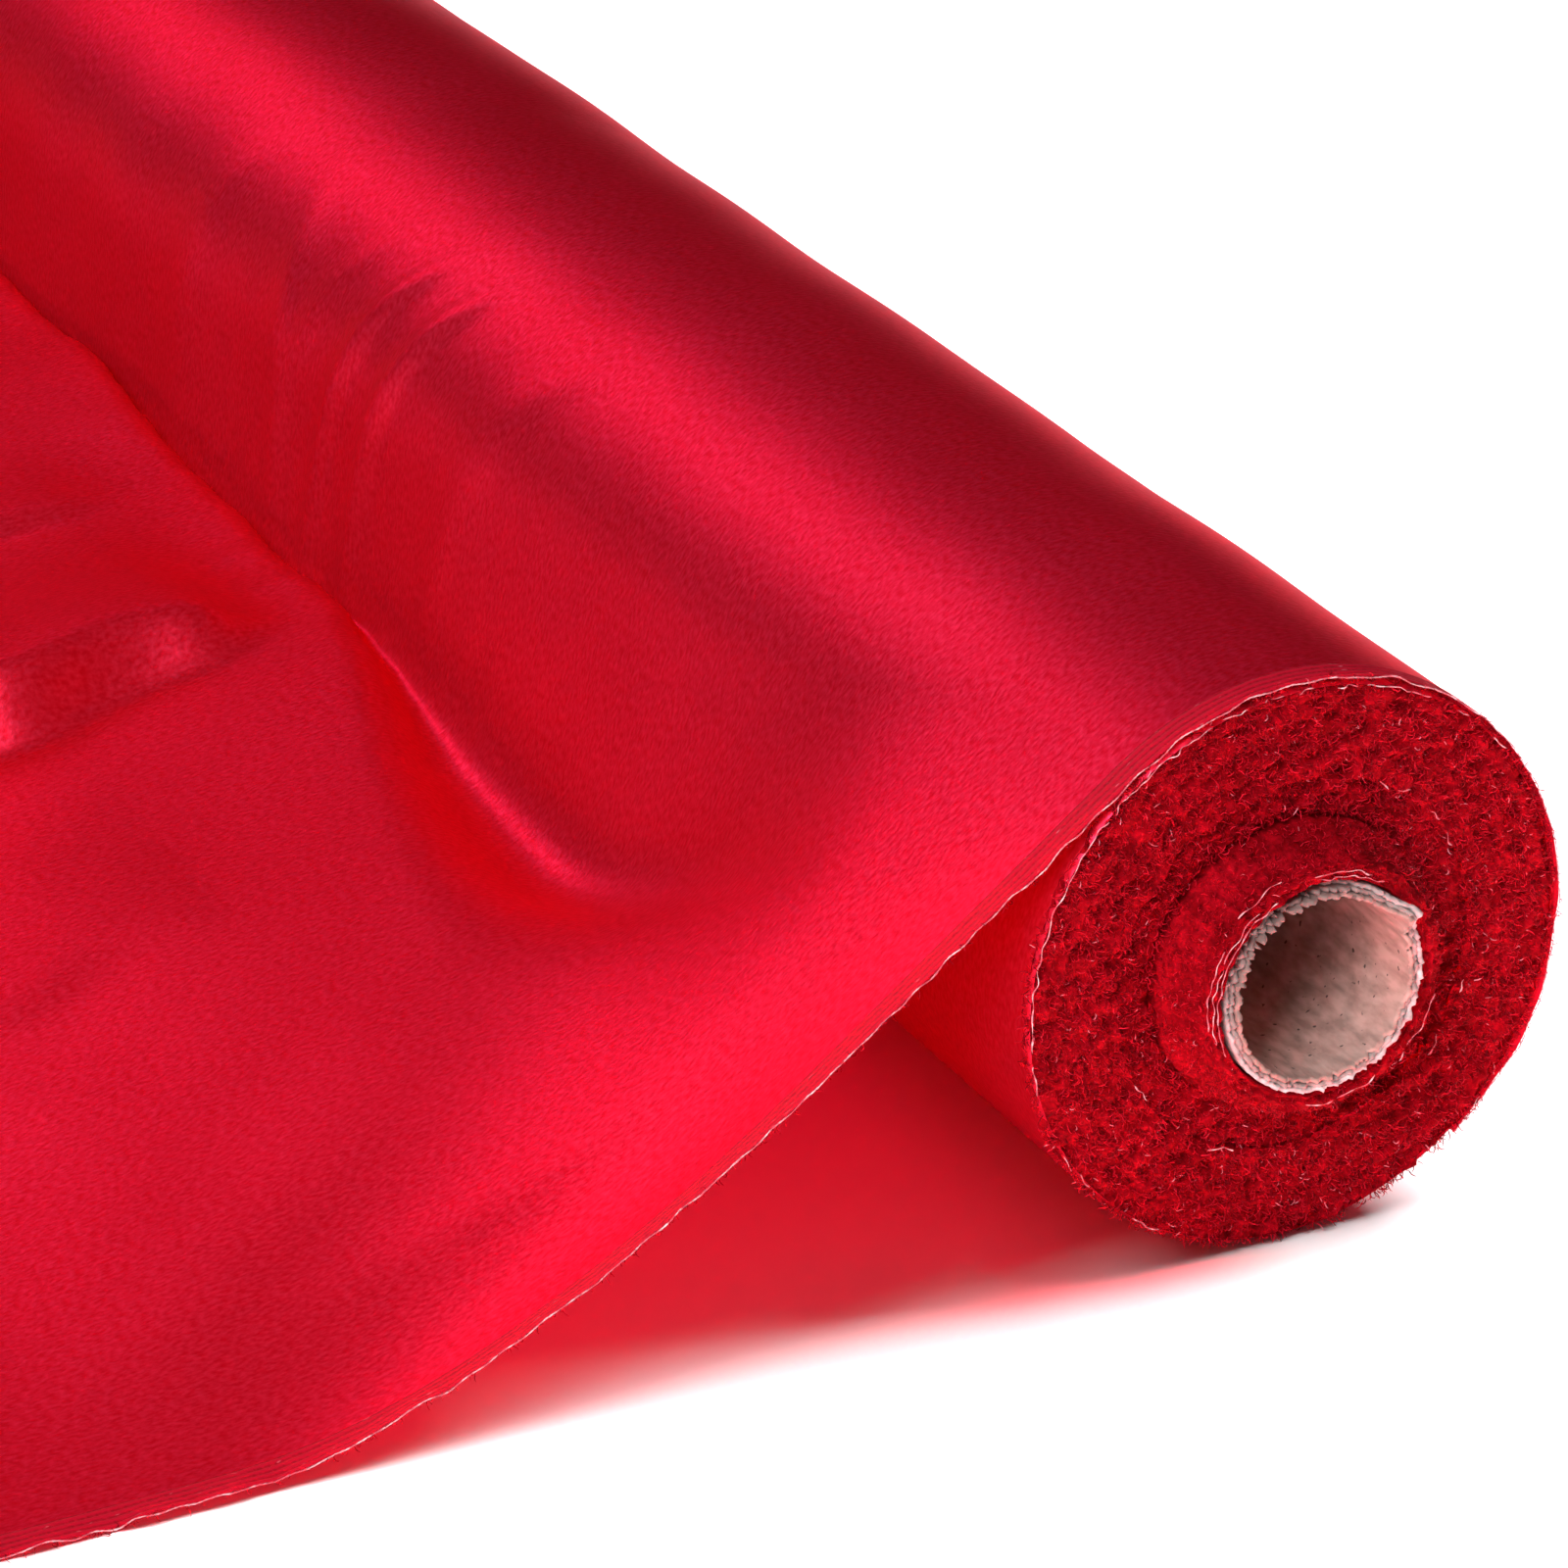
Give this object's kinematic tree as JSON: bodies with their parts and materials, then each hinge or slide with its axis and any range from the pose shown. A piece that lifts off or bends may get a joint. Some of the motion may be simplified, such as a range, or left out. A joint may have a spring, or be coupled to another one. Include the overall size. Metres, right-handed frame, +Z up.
{
  "type": "fabric bolt",
  "caption": "Roll of satin on a paperboard core, with the last turn paying off the top and lying out flat on the floor.",
  "frame": {"origin": "middle of the footprint of the roll and its laid-out cloth, on the floor", "axes": "+Y along the roll, from the end where the core stands out to the other end; +X from the cut end of the cloth to the roll; +Z up"},
  "size_m": [0.6219, 1.5132, 0.1219],
  "materials": {
    "outer_turns": "satin",
    "outer_winding": "matt, a mass of short thread ends",
    "inner_winding": "matt, a mass of short thread ends",
    "first_turns": "matt, a mass of short thread ends",
    "cloth_tail": "satin",
    "loose_end": "satin",
    "near_selvedge": "matt ribbed weave",
    "far_selvedge": "matt ribbed weave",
    "loose_end_near_selvedge": "matt ribbed weave",
    "loose_end_far_selvedge": "matt ribbed weave",
    "cut_edge": "matt ribbed weave",
    "near_rim_thread": "matt twisted thread",
    "far_rim_thread": "matt twisted thread",
    "near_middle_thread": "matt twisted thread",
    "far_middle_thread": "matt twisted thread",
    "near_edge_thread": "matt twisted thread",
    "far_edge_thread": "matt twisted thread",
    "loose_end_near_thread": "matt twisted thread",
    "loose_end_far_thread": "matt twisted thread",
    "core_inner_ply": "matt raw paperboard",
    "core_body_ply": "matt raw paperboard",
    "core_outer_ply": "matt raw paperboard",
    "start_tape": "smooth film"
  },
  "bodies": {
    "tail": {"cloth_tail": "cloth_tail", "near_selvedge": "near_selvedge", "far_selvedge": "far_selvedge", "near_edge_thread": "near_edge_thread", "far_edge_thread": "far_edge_thread"},
    "roll": {"outer_turns": "outer_turns", "outer_winding": "outer_winding", "inner_winding": "inner_winding", "near_rim_thread": "near_rim_thread", "far_rim_thread": "far_rim_thread", "near_middle_thread": "near_middle_thread", "far_middle_thread": "far_middle_thread"},
    "core": {"core_inner_ply": "core_inner_ply", "core_body_ply": "core_body_ply", "core_outer_ply": "core_outer_ply", "start_tape": "start_tape", "first_turns": "first_turns"},
    "tail_end": {"loose_end": "loose_end", "loose_end_near_selvedge": "loose_end_near_selvedge", "loose_end_far_selvedge": "loose_end_far_selvedge", "loose_end_near_thread": "loose_end_near_thread", "loose_end_far_thread": "loose_end_far_thread", "cut_edge": "cut_edge"}
  },
  "joints": [
    {"name": "roll_turn", "type": "hinge", "parent": "tail", "child": "roll", "pos_m": [0.24905, 0, 0.06], "axis": [0, 1, 0], "continuous": true},
    {"name": "core_slide", "type": "slide", "parent": "roll", "child": "core", "axis": [0, -1, 0], "range_m": [-0.012, 0.02]},
    {"name": "tail_fold", "type": "hinge", "parent": "tail", "child": "tail_end", "pos_m": [-0.13095, 0, 0.001], "axis": [0, 1, 0], "range_deg": [0, 150]}
  ]
}
